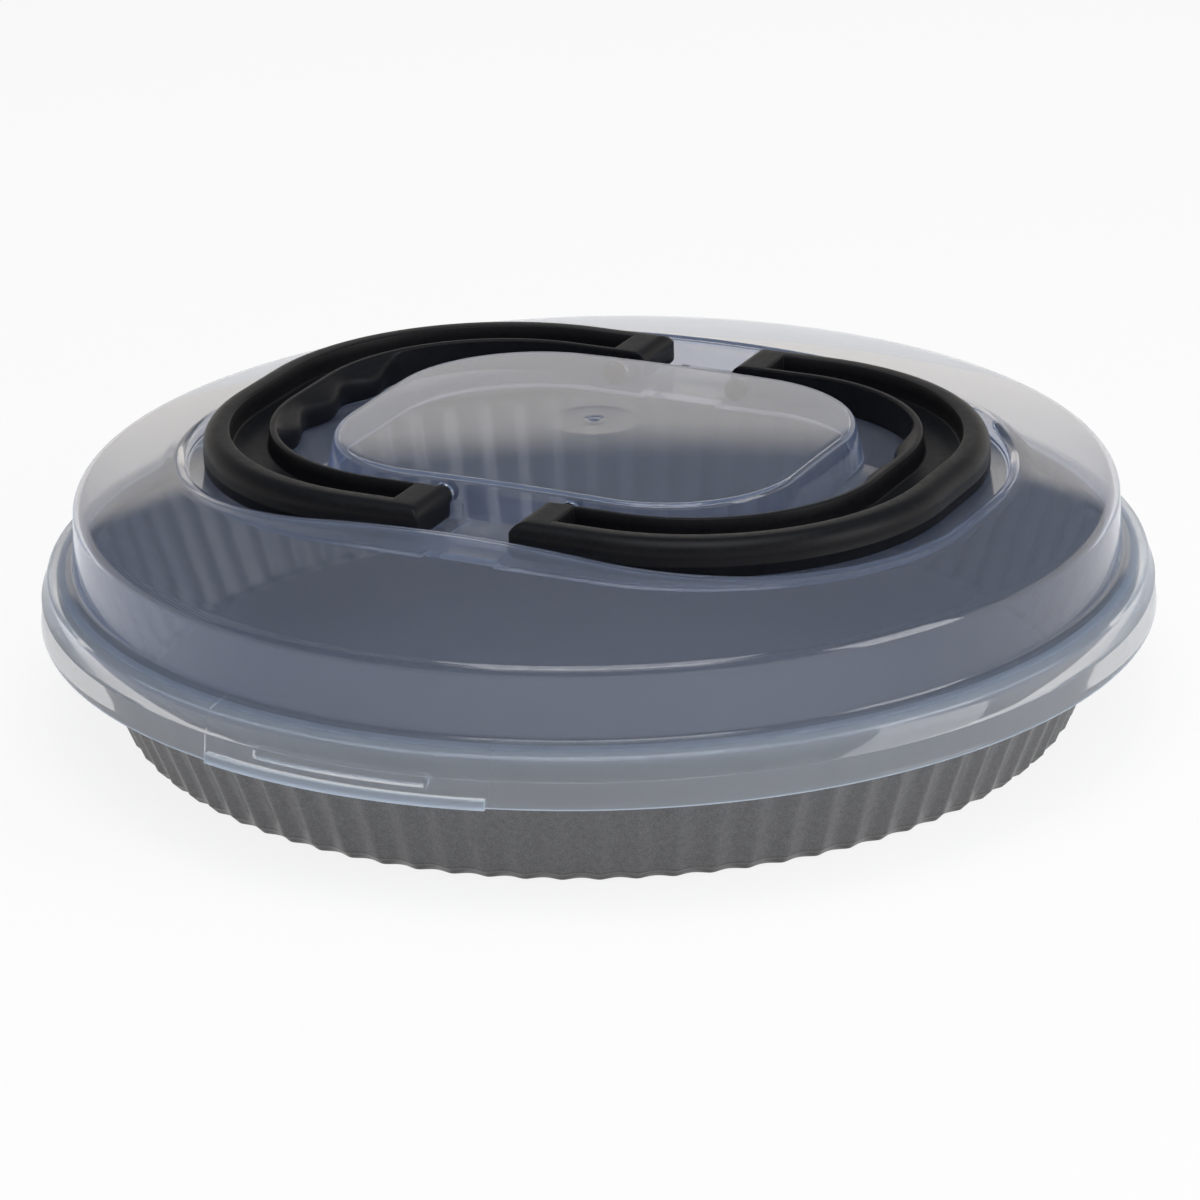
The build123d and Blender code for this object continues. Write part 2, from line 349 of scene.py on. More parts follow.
def seen_directly(tree):
    """1 for rays from the camera, a mirror or through glass."""
    path = node(tree, "ShaderNodeLightPath")
    seen = combine(tree, "MAXIMUM", path.outputs["Is Camera Ray"], path.outputs["Is Glossy Ray"])
    return combine(tree, "MAXIMUM", seen, path.outputs["Is Transmission Ray"])


def studio_floor():
    """Pale floor that shows as white and keeps a soft shadow."""
    material = blank_material("studio_floor")
    tree = material.node_tree
    paper = node(tree, "ShaderNodeBsdfDiffuse", {"Color": FLOOR_PAPER})
    white = node(tree, "ShaderNodeEmission", {"Color": (*WHITE, 1.0)})
    share = node(tree, "ShaderNodeMath", {1: FLOOR_SHOWN_WHITE}, operation="MULTIPLY")
    wire(tree, seen_directly(tree), share.inputs[0])
    both = mix_shaders(tree, share.outputs[0], paper.outputs["BSDF"], white.outputs["Emission"])
    finish_surface(tree, both)
    return material


def studio_world():
    """Even soft light. The camera sees plain white; reflections and glass show a bright low
    backdrop, dimmer to the left, under a dim upper room."""
    world = bpy.data.worlds.new("studio")
    world.use_nodes = True
    tree = world.node_tree
    tree.nodes.clear()
    soft = node(tree, "ShaderNodeBackground", {"Color": (*WHITE, 1.0), "Strength": SOFT_LIGHT})
    shown = node(tree, "ShaderNodeBackground", {"Strength": 1.0})
    way = node(tree, "ShaderNodeTexCoord").outputs["Generated"]
    split = node(tree, "ShaderNodeSeparateXYZ")
    wire(tree, way, split.inputs[0])
    sideways = node(tree, "ShaderNodeVectorMath", {1: BACKDROP_RIGHT}, operation="DOT_PRODUCT")
    wire(tree, way, sideways.inputs[0])
    backdrop = blend(tree, fade(tree, sideways.outputs["Value"], *BACKDROP_FADE), *BACKDROP_SIDES)
    room = blend(tree, fade(tree, split.outputs["Z"], *BACKDROP_EDGE), backdrop, UPPER_ROOM)
    path = node(tree, "ShaderNodeLightPath")
    wire(tree, blend(tree, path.outputs["Is Camera Ray"], room, WHITE), shown.inputs["Color"])
    light = mix_shaders(tree, seen_directly(tree), soft.outputs["Background"], shown.outputs["Background"])
    out = node(tree, "ShaderNodeOutputWorld")
    wire(tree, light, out.inputs["Surface"])
    bpy.context.scene.world = world


def paint(thing, material):
    thing.data.materials.clear()
    thing.data.materials.append(material)


place_camera()
fine_grain_group()
studio_world()
bpy.context.scene.view_settings.view_transform = "Standard"

bpy.ops.object.select_all(action="DESELECT")
bpy.ops.mesh.primitive_plane_add(size=14.0, location=(0.0, 0.0, -0.0003))
floor = bpy.context.object
floor.name = "studio_floor"
paint(floor, studio_floor())

add_lamp("top_softbox", (0.1, -0.2, 1.5), (0, 0, 0.05), 0.9, 10.0)
add_lamp("right_softbox", (1.6, 0.1, 0.8), (0, 0, 0.05), 0.8, 10.0, size_y=1.0)
add_lamp("front_softbox", (0.9, -1.6, 1.1), (0, 0, 0.04), 0.8, 7.0, shines=False)


# Sizes in millimetres, as in the solids
MM = 0.001
SHEET = 1.6
FAR = 99.0
SMOOTH_ANGLE = math.radians(50.0)

# Skirt, ledge and dome
SKIRT_Z = 29.578
SHOULDER_Z = 37.178
SIDE_LINES = ((155.0, SKIRT_Z), (154.3, SHOULDER_Z), (152.6, 43.178), (145.5, 45.228), (144.5, 63.828))
LEDGE_EDGE_ROUND = 1.2
LEDGE_FOOT_ROUND = 1.6
LEDGE_STEPS = 6
DOME_EDGE_ROUND = 4.0
DOME_EDGE_STEPS = 10
DOME_RADIUS = 517.105
CROWN_Z = 84.428
DOME_RINGS = (139.0, 136.0, 131.0)
DOME_LAST_RING = 126.0

# How many of the side's points lie on the ledge, where the parting lines go on
LEDGE_POINTS = 15

# Skirt's bottom edge, as inset and rise
SKIRT_EDGE = ((0.40, 0.0), (0.12, 0.10), (0.0, 0.38))
SKIRT_INNER_RINGS = (31.5, 33.2)

# Thumb lip at the front and rear: its edge as inset and drop, its root as rise and size
LIP_HALF_ANGLE = 15.1
LIP_REACH = 1.6
LIP_TOP_Z = 32.378
LIP_EDGE = ((0.0, 0.55), (0.14, 0.16), (0.50, 0.0))
LIP_ROOT = ((0.02, 0.22), (0.30, 0.0), (0.9, 0.0))

# Long slot above the lip, with a snap bead behind it
SLOT_HALF_LENGTH = 25.5
SLOT_HALF_HEIGHT = 1.55
SLOT_Z = 35.628
SLOT_DENT = 0.8
SLOT_BEAD = 0.9
SLOT_WALL = 0.34
SLOT_RISES = (-1.56, -1.22, -0.7, 0.0, 0.7, 1.22, 1.56)
SLOT_WIDEST_ANGLE = 30.0

# Parting lines beside the lip, and the thin line round the shoulder as rise and size
PARTING_ANGLE = 15.6
PARTING_RIDGE = 0.17
SAME_ANGLE = 0.02
SHOULDER_LINE = ((-0.14, 0.0), (0.0, 0.2), (0.16, 0.0))

# Sunk bed of the handles
CORE_X = 37.0
BED_CORE_X = 40.0
CORE_Y = 10.0
BED_REACH = 73.2
BED_FLOOR_Z = 68.178
BED_DRAFT = math.radians(2.0)
BED_EDGE_ROUND = 3.4
BED_FOOT_ROUND = 0.8
BED_STEPS = 5
BED_GUARD_RINGS = (7.5, 5.4)
BED_LINKS = (0.33, 0.67)

# Raised island inside the bed
ISLAND_CORE_X = 29.2
ISLAND_CORE_Y = 15.6
ISLAND_REACH = 41.0
ISLAND_DRAFT = math.radians(10.0)
ISLAND_TOP_Z = 81.278
ISLAND_CROWN_RADIUS = 1300.0
ISLAND_EDGE_ROUND = 2.0
ISLAND_EDGE_STEPS = 8
ISLAND_WALL_Z = 74.5
ISLAND_INSETS = (4.5, 8.5, 13.5)

# Gate mark in the island's middle: a soft hollow, and a nub as radius and change of height
GATE_BALL = 1114.0
GATE_DEPTH = 0.12
GATE_START = 14.5
GATE_RINGS = (12.8, 12.0, 11.4, 10.8, 9.4, 7.6, 5.6, 3.6)
GATE_NUB = (
    (2.60, 0.0), (2.36, -0.03), (2.05, -0.11), (1.70, -0.13), (1.35, -0.10),
    (1.16, -0.03), (1.02, 0.05), (0.82, 0.09), (0.45, 0.10),
)
UNDER_GATE_RINGS = (2.4, 1.2)

# Low bridge across the bed between the handles' tips; its edges as distance and drop or rise
BRIDGE_HALF = 12.6
BRIDGE_Z = 69.5
BRIDGE_TOP_EDGE = ((-0.50, 0.0), (-0.31, 0.04), (-0.15, 0.15), (-0.04, 0.31), (0.0, 0.5))
BRIDGE_FOOT = ((0.02, 0.5), (0.06, 0.31), (0.17, 0.15), (0.33, 0.04), (0.52, 0.0))
BRIDGE_UNDER_END = 17.0
SAME_PLACE = 1e-4
BARELY = 1e-6
BEND_COLUMNS = 32

# On the inner face a foot's round grows by a share of the sheet, and an edge's keeps a least size
LEDGE_FOOT_GROWTH = 0.6
BED_FOOT_GROWTH = 0.7
LEAST_LEDGE_ROUND = 0.25
LEAST_BED_ROUND = 0.3
LEAST_CROWN_ROUND = 0.4

# How far off the lines that meet in a round are looked up, and how often a corner is set again
DOME_LOOK = 6.0
RIM_LOOK = 3.0
FLOOR_LOOK = 9.0
WALL_SETTLES = 6
CORNER_SETTLES = 8

# Hinge pins and their holes
PIVOT_X = 19.0
PIVOT_Z = 74.578
PIN_RADIUS = 3.0
HOLE_RADIUS = 3.08
DRILL_Y = 55.3
DRILL_LENGTH = 8.0
DRILL_SIDES = 64


# Ring by ring modelling

def ring_skin(name, rings):
    """Closed skin grown ring by ring from a circle, each new ring set in its place."""
    count = len(rings[0])
    bpy.ops.object.select_all(action="DESELECT")
    bpy.ops.mesh.primitive_circle_add(vertices=count, radius=0.1, location=(0.0, 0.0, 0.0))
    skin = bpy.context.object
    skin.name = name
    bpy.ops.object.mode_set(mode="EDIT")
    bpy.ops.mesh.select_mode(type="VERT")
    bpy.ops.mesh.select_all(action="SELECT")
    shape = bmesh.from_edit_mesh(skin.data)
    shape.verts.ensure_lookup_table()
    column = list(range(count))
    for vert, place in zip(shape.verts, rings[0]):
        vert.co = place * MM
    for index, ring in enumerate(rings[1:], 1):
        bpy.ops.mesh.extrude_edges_indiv()
        shape = bmesh.from_edit_mesh(skin.data)
        shape.verts.ensure_lookup_table()
        first = index * count
        new_column = [0] * count
        for number in range(first, first + count):
            vert = shape.verts[number]
            for edge in vert.link_edges:
                other = edge.other_vert(vert).index
                if other < first:
                    new_column[number - first] = column[other - first + count]
                    break
            vert.co = ring[new_column[number - first]] * MM
        column = new_column
    close_ring()
    shape = bmesh.from_edit_mesh(skin.data)
    shape.verts.ensure_lookup_table()
    bpy.ops.mesh.select_all(action="DESELECT")
    for number in range(count):
        shape.verts[number].select = True
    shape.select_flush(True)
    close_ring()
    bpy.ops.mesh.select_all(action="SELECT")
    bpy.ops.mesh.normals_make_consistent(inside=False)
    bpy.ops.object.mode_set(mode="OBJECT")
    return skin


def close_ring():
    """Draw the selected ring together into one point at its centre."""
    bpy.ops.mesh.extrude_edges_indiv()
    bpy.ops.mesh.merge(type="CENTER")


def choose(piece):
    """Only this piece selected and active."""
    bpy.ops.object.select_all(action="DESELECT")
    piece.select_set(True)
    bpy.context.view_layer.objects.active = piece


def flat(across, height):
    """Point in a section: distance across and height."""
    return Vector((across, height))


def corner_arc(before, corner, after, radius, steps):
    """Points of a round of given radius where two straight lines meet."""
    first = (before - corner).normalized()
    second = (after - corner).normalized()
    half = first.angle(second) / 2
    centre = corner + (first + second).normalized() * (radius / math.sin(half))
    start = corner + first * (radius / math.tan(half)) - centre
    end = corner + second * (radius / math.tan(half)) - centre
    sweep = start.angle(end)
    points = []
    for step in range(steps + 1):
        share = step / steps
        turned = start * math.sin((1 - share) * sweep) + end * math.sin(share * sweep)
        points.append(centre + turned / math.sin(sweep))
    return points


# Lid's side: skirt, ledge and the dome's edge

def dome_z(radius, grow):
    """Height of the dome; grow is how far inside the outer face the surface lies."""
    ball = DOME_RADIUS - grow
    return CROWN_Z - DOME_RADIUS + math.sqrt(ball * ball - radius * radius)


def side_section(grow):
    """Foot and shoulder of the skirt, then the points over the ledge to the dome's edge."""
    lines = [flat(*spot) for spot in SIDE_LINES]
    moved = []
    for start, end in zip(lines, lines[1:]):
        along = (end - start).normalized()
        inward = flat(-along.y, along.x) * grow
        moved.append((start + inward, end + inward))
    corners = [moved[0][0]]
    for (a, b), (c, d) in zip(moved, moved[1:]):
        along, other = b - a, d - c
        share = (c - a).cross(other) / along.cross(other)
        corners.append(a + along * share)
    wall_start, wall_end = moved[-1]
    wall_way = (wall_end - wall_start).normalized()
    for _ in range(WALL_SETTLES):
        wall_end = wall_end + wall_way * (dome_z(wall_end.x, grow) - wall_end.y)
    outward = flat(math.sqrt((DOME_RADIUS - grow) ** 2 - wall_end.x ** 2), wall_end.x)
    inner = wall_end - outward.normalized() * DOME_LOOK
    inner.y = dome_z(inner.x, grow)
    base, shoulder, ledge, foot = corners
    points = corner_arc(shoulder, ledge, foot, max(LEDGE_EDGE_ROUND - grow, LEAST_LEDGE_ROUND), LEDGE_STEPS)
    points.append(ledge + (foot - ledge) * 0.5)
    foot_round = LEDGE_FOOT_ROUND + grow * LEDGE_FOOT_GROWTH
    points += corner_arc(ledge, foot, wall_end, foot_round, LEDGE_STEPS)
    points += [foot + (wall_end - foot) * share for share in (0.35, 0.65)]
    edge_round = max(DOME_EDGE_ROUND - grow, LEAST_CROWN_ROUND)
    points += corner_arc(foot, wall_end, inner, edge_round, DOME_EDGE_STEPS)
    points += [flat(radius, dome_z(radius, grow)) for radius in DOME_RINGS]
    return base, shoulder, points


def skirt_radius(height, base, shoulder):
    share = (height - base.y) / (shoulder.y - base.y)
    return base.x + (shoulder.x - base.x) * share


def slot_depth(angle, shoulder, rise, depth):
    """Depth of the long round-ended dent at a place on the skirt."""
    near = abs(math.degrees(angle)) < SLOT_WIDEST_ANGLE
    across = shoulder.x * math.sin(abs(angle)) if near else FAR
    beyond = max(0.0, across - (SLOT_HALF_LENGTH - SLOT_HALF_HEIGHT))
    inside = SLOT_HALF_HEIGHT - math.hypot(beyond, rise)
    return depth * min(1.0, max(0.0, inside / SLOT_WALL))


def outer_skirt(angle, base, shoulder):
    """Outside of the skirt from its bottom edge to the shoulder, with lip, slot and seam."""
    turn = abs(math.degrees(angle))
    lip = LIP_REACH if turn <= LIP_HALF_ANGLE + SAME_ANGLE else 0.0
    seam = PARTING_RIDGE if abs(turn - PARTING_ANGLE) < SAME_ANGLE else 0.0
    places = [(SKIRT_Z + rise, lip - inset) for inset, rise in SKIRT_EDGE]
    places += [(LIP_TOP_Z - drop, max(0.0, lip - inset)) for inset, drop in LIP_EDGE]
    places += [(LIP_TOP_Z + rise, size * (lip > 0)) for rise, size in LIP_ROOT]
    places += [(SLOT_Z + rise, -slot_depth(angle, shoulder, rise, SLOT_DENT)) for rise in SLOT_RISES[:-1]]
    places += [(SHOULDER_Z + rise, size) for rise, size in SHOULDER_LINE]
    return [flat(skirt_radius(height, base, shoulder) + out + seam, height) for height, out in places]


def inner_skirt(angle, base, shoulder):
    """Inside of the skirt, with the bead behind the slot."""
    points = [flat(base.x + inset, SKIRT_Z + rise) for inset, rise in SKIRT_EDGE]
    places = [(height, 0.0) for height in SKIRT_INNER_RINGS]
    places += [(SLOT_Z + rise, slot_depth(angle, shoulder, rise, SLOT_BEAD)) for rise in SLOT_RISES]
    return points + [flat(skirt_radius(height, base, shoulder) - bead, height) for height, bead in places]


# Lid's top: dome, bed, bridges and island

def island_z(radius, grow):
    """Height of the island's crown with the soft hollow in its middle."""
    top = ISLAND_TOP_Z - grow
    crown = top - radius * radius / (2 * (ISLAND_CROWN_RADIUS - grow))
    hollow = top - GATE_DEPTH + radius * radius / (2 * (GATE_BALL + grow))
    return min(crown, hollow)


def bridge_height(across, grow):
    """Height of the bridge at a distance from the middle, or None beside it."""
    edge = BRIDGE_HALF - grow
    top = BRIDGE_Z - grow
    if across <= edge + BRIDGE_TOP_EDGE[0][0] - BARELY:
        return top
    for past, drop in BRIDGE_TOP_EDGE:
        if abs(across - edge - past) < SAME_PLACE:
            return top - drop
    for past, rise in BRIDGE_FOOT:
        if abs(across - edge - past) < SAME_PLACE:
            return BED_FLOOR_Z - grow + rise
    return None


def straight_columns():
    """Columns along the bed's straight side, close together at bridge, slot and lip."""
    plain = [0.0, 2.5, 5.0, 7.5, 9.6, 11.2]
    bridge_edge = [BRIDGE_HALF + past for past, _ in BRIDGE_TOP_EDGE + BRIDGE_FOOT]
    slot_end = [13.22, 13.34, 13.46, 13.58, 13.68, 13.78, 13.86, 13.93, 14.05]
    open_side = [14.7, 15.7, 16.9, 18.2, 19.6, 20.8, 21.4]
    lip_angles = (15.1, 15.16, 15.3, 15.5, 15.6, 15.7, 15.8)
    lip_end = [(CORE_Y + BED_REACH) * math.tan(math.radians(angle)) for angle in lip_angles]
    last = [24.2, 25.2, 26.4, 27.8, ISLAND_CORE_X]
    ahead = flat(0.0, 1.0)
    return [
        (flat(x, CORE_Y), ahead, flat(x, ISLAND_CORE_Y), ahead, x)
        for x in plain + bridge_edge + slot_end + open_side + lip_end + last
    ]


def bend_column(run, core_x, core_y, straight, reach):
    """Core place and direction at a run along a straight, a quarter bend and a last straight."""
    bend = reach * math.pi / 2
    if run <= straight:
        return flat(ISLAND_CORE_X + run, core_y), flat(0.0, 1.0)
    if run <= straight + bend:
        turn = (run - straight) / reach
        return flat(core_x, core_y), flat(math.sin(turn), math.cos(turn))
    return flat(core_x, max(0.0, core_y - (run - straight - bend))), flat(1.0, 0.0)


def quarter_columns():
    """Columns of the lid over a quarter turn: bed and island places with their directions."""
    columns = straight_columns()
    straight = BED_CORE_X - ISLAND_CORE_X
    bed_run = straight + BED_REACH * math.pi / 2 + CORE_Y
    island_run = ISLAND_REACH * math.pi / 2 + ISLAND_CORE_Y
    for step in range(1, BEND_COLUMNS + 1):
        share = step / BEND_COLUMNS
        core, out = bend_column(share * bed_run, BED_CORE_X, CORE_Y, straight, BED_REACH)
        isle, away = bend_column(share * island_run, ISLAND_CORE_X, ISLAND_CORE_Y, 0.0, ISLAND_REACH)
        columns.append((core, out, isle, away, FAR))
    return columns


def all_columns():
    """The quarter's columns carried round the whole lid."""
    quarter = quarter_columns()
    back = quarter[::-1]
    columns = []
    for side, end, part in ((1, 1, quarter), (1, -1, back[1:]), (-1, -1, quarter[1:]), (-1, 1, back[1:-1])):
        sign = flat(side, end)
        for core, out, isle, away, across in part:
            columns.append((core * sign, out * sign, isle * sign, away * sign, across))
    return columns


def under_shift(column):
    """The same column moved in to the underside of the bridge's edge."""
    core, out, isle, away, across = column
    if across > BRIDGE_UNDER_END:
        return column
    low = BRIDGE_HALF + BRIDGE_TOP_EDGE[0][0]
    high = BRIDGE_HALF + BRIDGE_FOOT[-1][0]
    if across < low:
        moved = across * (low - SHEET) / low
    elif across <= high + BARELY:
        moved = across - SHEET
    else:
        stretch = (BRIDGE_UNDER_END - high + SHEET) / (BRIDGE_UNDER_END - high)
        moved = (high - SHEET) + (across - high) * stretch
    side = 1.0 if core.x >= 0 else -1.0
    return (flat(side * moved, core.y), out, flat(side * moved, isle.y), away, moved)


def raised(spot, height):
    return Vector((spot.x, spot.y, height))


def on_dome(spot, grow):
    return raised(spot, dome_z(spot.length, grow))


def dome_points(core, out, grow, angle):
    """From the dome's last round ring in to the shape of the bed."""
    ring = flat(math.sin(angle), math.cos(angle)) * DOME_LAST_RING
    guards = [core + out * (BED_REACH + grow + past) for past in BED_GUARD_RINGS]
    between = [ring.lerp(guards[0], share) for share in (0.25, 0.5, 0.75)]
    points = [raised(ring, dome_z(DOME_LAST_RING, grow))]
    return points + [on_dome(spot, grow) for spot in between + guards]


def bed_wall_points(core, out, grow):
    """Bed's rounded edge, its wall and the round at its foot; a low wall gets smaller rounds."""
    floor_z = BED_FLOOR_Z - grow
    reach = BED_REACH + grow
    rim = reach
    for _ in range(CORNER_SETTLES):
        rim_z = dome_z((core + out * rim).length, grow)
        rim = reach + (rim_z - floor_z) * math.tan(BED_DRAFT)
    rim_corner = flat(rim, rim_z)
    before = flat(rim + RIM_LOOK, on_dome(core + out * (rim + RIM_LOOK), grow).z)
    foot = flat(reach, floor_z)
    wall_height = rim_z - floor_z
    foot_round = min(BED_FOOT_ROUND + grow * BED_FOOT_GROWTH, wall_height * 0.4)
    room = (wall_height - 1.05 * foot_round - 0.1) / 1.2
    edge_round = min(max(BED_EDGE_ROUND - grow, LEAST_BED_ROUND), room)
    edge_arc = corner_arc(before, rim_corner, foot, edge_round, BED_STEPS)
    foot_arc = corner_arc(rim_corner, foot, flat(reach - FLOOR_LOOK, floor_z), foot_round, BED_STEPS)
    section = edge_arc + [edge_arc[-1].lerp(foot_arc[0], 0.5)] + foot_arc
    return [raised(core + out * p.x, p.y) for p in section]


def island_wall_points(isle, away, grow):
    """Island's foot, its wall with the rings that meet the bridge, and its rounded edge."""
    floor_z = BED_FLOOR_Z - grow
    reach = ISLAND_REACH - grow
    crown_reach = reach
    for _ in range(CORNER_SETTLES):
        crown_z = island_z((isle + away * crown_reach).length, grow)
        crown_reach = reach - (crown_z - floor_z) * math.tan(ISLAND_DRAFT)
    foot = flat(reach, floor_z)
    crown = flat(crown_reach, crown_z)
    look = crown_reach - DOME_LOOK
    inside = flat(look, island_z((isle + away * look).length, grow))
    foot_round = BED_FOOT_ROUND + grow * BED_FOOT_GROWTH
    section = corner_arc(flat(reach + FLOOR_LOOK, floor_z), foot, crown, foot_round, BED_STEPS)
    foot_end = section[-1].y
    bridge_z = max(BRIDGE_Z - grow, foot_end + 0.1)
    for height in ((foot_end + bridge_z) / 2, bridge_z, ISLAND_WALL_Z - grow):
        section.append(flat(reach - (height - floor_z) * math.tan(ISLAND_DRAFT), height))
    edge_round = max(ISLAND_EDGE_ROUND - grow, LEAST_CROWN_ROUND)
    section += corner_arc(foot, crown, inside, edge_round, ISLAND_EDGE_STEPS)
    return [raised(isle + away * p.x, p.y) for p in section]


def island_top_points(isle, away, grow):
    """Island's crown in to its middle, with the gate mark on the outer face."""
    spots = [isle + away * (ISLAND_REACH - grow - inset) for inset in ISLAND_INSETS]
    last = spots[-1]
    heading = last.normalized()
    spots += [last.lerp(heading * GATE_START, share) for share in (0.33, 0.66, 1.0)]
    points = [raised(spot, island_z(spot.length, grow)) for spot in spots]
    marks = [(radius, 0.0) for radius in GATE_RINGS]
    marks += GATE_NUB if grow == 0.0 else [(radius, 0.0) for radius in UNDER_GATE_RINGS]
    return points + [raised(heading * radius, island_z(radius, grow) + change) for radius, change in marks]


def top_points(column, grow, angle):
    """One column from the dome over the bed's edge, floor and island to the middle."""
    core, out, isle, away, across = column
    points = dome_points(core, out, grow, angle) + bed_wall_points(core, out, grow)
    island_wall = island_wall_points(isle, away, grow)
    bed_end = points[-1]
    points += [bed_end.lerp(island_wall[0], share) for share in BED_LINKS]
    points += island_wall
    bridge = bridge_height(across, grow)
    if bridge is not None:
        for point in points:
            point.z = max(point.z, min(bridge, dome_z(point.to_2d().length, grow)))
    return points + island_top_points(isle, away, grow)


def lid_rings():
    """Rings of the whole lid, from the middle of its underside round the skirt to its top."""
    outer_base, outer_shoulder, outer_side = side_section(0.0)
    inner_base, inner_shoulder, inner_side = side_section(SHEET)
    chains = []
    for column in all_columns():
        edge = column[0] + column[1] * BED_REACH
        angle = math.atan2(edge.x, edge.y)
        near = angle if abs(angle) < math.pi / 2 else math.pi - abs(angle)
        way = flat(math.sin(angle), math.cos(angle))
        seam = PARTING_RIDGE if abs(math.degrees(abs(near)) - PARTING_ANGLE) < SAME_ANGLE else 0.0
        ledge = [flat(p.x, p.y + seam) for p in outer_side[:LEDGE_POINTS]]
        outer = outer_skirt(near, outer_base, outer_shoulder) + ledge + outer_side[LEDGE_POINTS:]
        inner = inner_skirt(near, inner_base, inner_shoulder) + inner_side
        chain = [raised(way * p.x, p.y) for p in inner]
        chain += top_points(under_shift(column), SHEET, angle)
        chain.reverse()
        chain += [raised(way * p.x, p.y) for p in outer]
        chain += top_points(column, 0.0, angle)
        chains.append(chain)
    return [list(ring) for ring in zip(*chains)]


def cut_pin_holes(lid):
    """Round holes through the island's side walls for the four pins."""
    for side in (-1, 1):
        for end in (-1, 1):
            bpy.ops.object.select_all(action="DESELECT")
            bpy.ops.mesh.primitive_cylinder_add(
                vertices=DRILL_SIDES, radius=HOLE_RADIUS * MM, depth=DRILL_LENGTH * MM,
                location=(side * PIVOT_X * MM, end * DRILL_Y * MM, PIVOT_Z * MM),
                rotation=(math.pi / 2, 0.0, 0.0))
            drill = bpy.context.object
            cut = lid.modifiers.new("pin_hole", "BOOLEAN")
            cut.operation = "DIFFERENCE"
            cut.solver = "EXACT"
            cut.object = drill
            bpy.context.view_layer.objects.active = lid
            bpy.ops.object.modifier_apply(modifier="pin_hole")
            bpy.data.objects.remove(drill, do_unlink=True)


def make_lid():
    lid = ring_skin("clear_domed_lid", lid_rings())
    cut_pin_holes(lid)
    choose(lid)
    bpy.ops.object.shade_smooth_by_angle(angle=SMOOTH_ANGLE)
    return lid


# Handles

CREST_REACH = 50.5
CHANNEL_IN = 52.5
CHANNEL_OUT = 63.5
HANDLE_OUT = 71.0
HANDLE_Z = 69.578
HANDLE_HEIGHT = 10.0
OUTER_ROUND = 4.4
OUTER_ROUND_STEPS = 9

# Channel along the top, and how deep it may be at a distance along the arm near its end wall
CHANNEL_DEPTH = 6.2
CHANNEL_RUN = CHANNEL_DEPTH * math.tan(math.radians(4.0))
CHANNEL_MOUTH = 0.6
CHANNEL_LEAST_Z = 0.5
CHANNEL_END = (
    (23.45, 0.0), (23.70, 0.06), (23.88, 0.20), (24.0, 0.45), (24.38, 5.6), (24.5, 5.95), (25.0, 6.2),
)

# Finger waves on the grip's inner side
WAVE_PITCH = 23.5
WAVE_MEAN = 4.3
WAVE_HEIGHT = 1.3
WAVE_FADE = 14.5
FACET_SLOPE = 0.56
FACET_START = 2.5
FACET_BULGE = 0.06
BROW_SHARE = 0.96
BROW_DEPTH = 2.5
TUCK = 0.9
TUCK_SWELL = 3.0
TOP_EDGE_DROP = 0.45
TOP_EDGE_LEAN = 0.02
UNDER_EDGE = 0.60
OUTER_UNDER_EDGE = 0.9
LOW_EDGE_RISE = 0.75

# Rounded tip of each arm, with the places of its sections along the arm
TIP_X = 13.5
TIP_ROUND = 3.6
TIP_SIDE_ROUND = 1.2
TIP_ANGLES = (0, 6, 12, 20, 30, 40, 50, 60, 70, 80, 90)
ARM_PLACES = (
    19.0, 21.0, 22.6, 23.4, 23.55, 23.7, 23.84, 23.93, 24.0, 24.2, 24.38, 24.5, 24.7, 25.0,
    26.0, 27.5, 29.0, 31.0, 33.0, 35.0,
)
BEND_STEPS = 44
GRIP_STEPS = 12

# Hinge pin from inside the arm to its chamfered end, as place and radius
PIN_RINGS = ((61.0, 2.6), (61.0, PIN_RADIUS), (50.7, PIN_RADIUS), (50.5, 2.93), (50.0, 2.35), (50.0, 1.2))
PIN_SIDES = 48

# Points closer than the first gap are one point, and faces thinner than the second one go
MERGE_GAP = 0.004
FLAT_GAP = 0.002


def wave_swell(y):
    """How far the grip bulges towards the fingers at a place along it."""
    y = abs(y)
    if y <= WAVE_PITCH:
        return WAVE_MEAN + WAVE_HEIGHT * math.cos(2 * math.pi * y / WAVE_PITCH)
    if y < WAVE_PITCH + WAVE_FADE:
        return (WAVE_MEAN + WAVE_HEIGHT) * 0.5 * (1 + math.cos(math.pi * (y - WAVE_PITCH) / WAVE_FADE))
    return 0.0


def finger_side(swell):
    """Inner side of the handle from the top down: edge, sloping facet, rounded brow and wall."""
    top = HANDLE_HEIGHT
    facet = max(0.0, swell - FACET_START)
    start = flat(CREST_REACH - TOP_EDGE_LEAN * swell, top - TOP_EDGE_DROP)
    end = flat(CREST_REACH - facet, top - TOP_EDGE_DROP - FACET_SLOPE * facet)
    brow = flat(CREST_REACH - swell, top - TOP_EDGE_DROP - FACET_SLOPE * swell * BROW_SHARE)
    below = flat(CREST_REACH - swell, brow.y - BROW_DEPTH)
    tuck = TUCK * min(1.0, swell / TUCK_SWELL)
    edge = ((0.75, 0.0), (0.42, 0.05), (0.15, 0.20))
    points = [flat(CREST_REACH + past, top - drop) for past, drop in edge]
    points.append(start)
    for share in (0.25, 0.5, 0.75, 1.0):
        spot = start.lerp(end, share)
        points.append(flat(spot.x, spot.y + FACET_BULGE * facet * math.sin(math.pi * share)))
    for share in (0.2, 0.4, 0.6, 0.8, 1.0):
        points.append(end.lerp(brow, share).lerp(brow.lerp(below, share), share))
    for share in (0.33, 0.66, 1.0):
        height = below.y + (LOW_EDGE_RISE - below.y) * share
        points.append(flat(below.x + tuck * share * share, height))
    return points


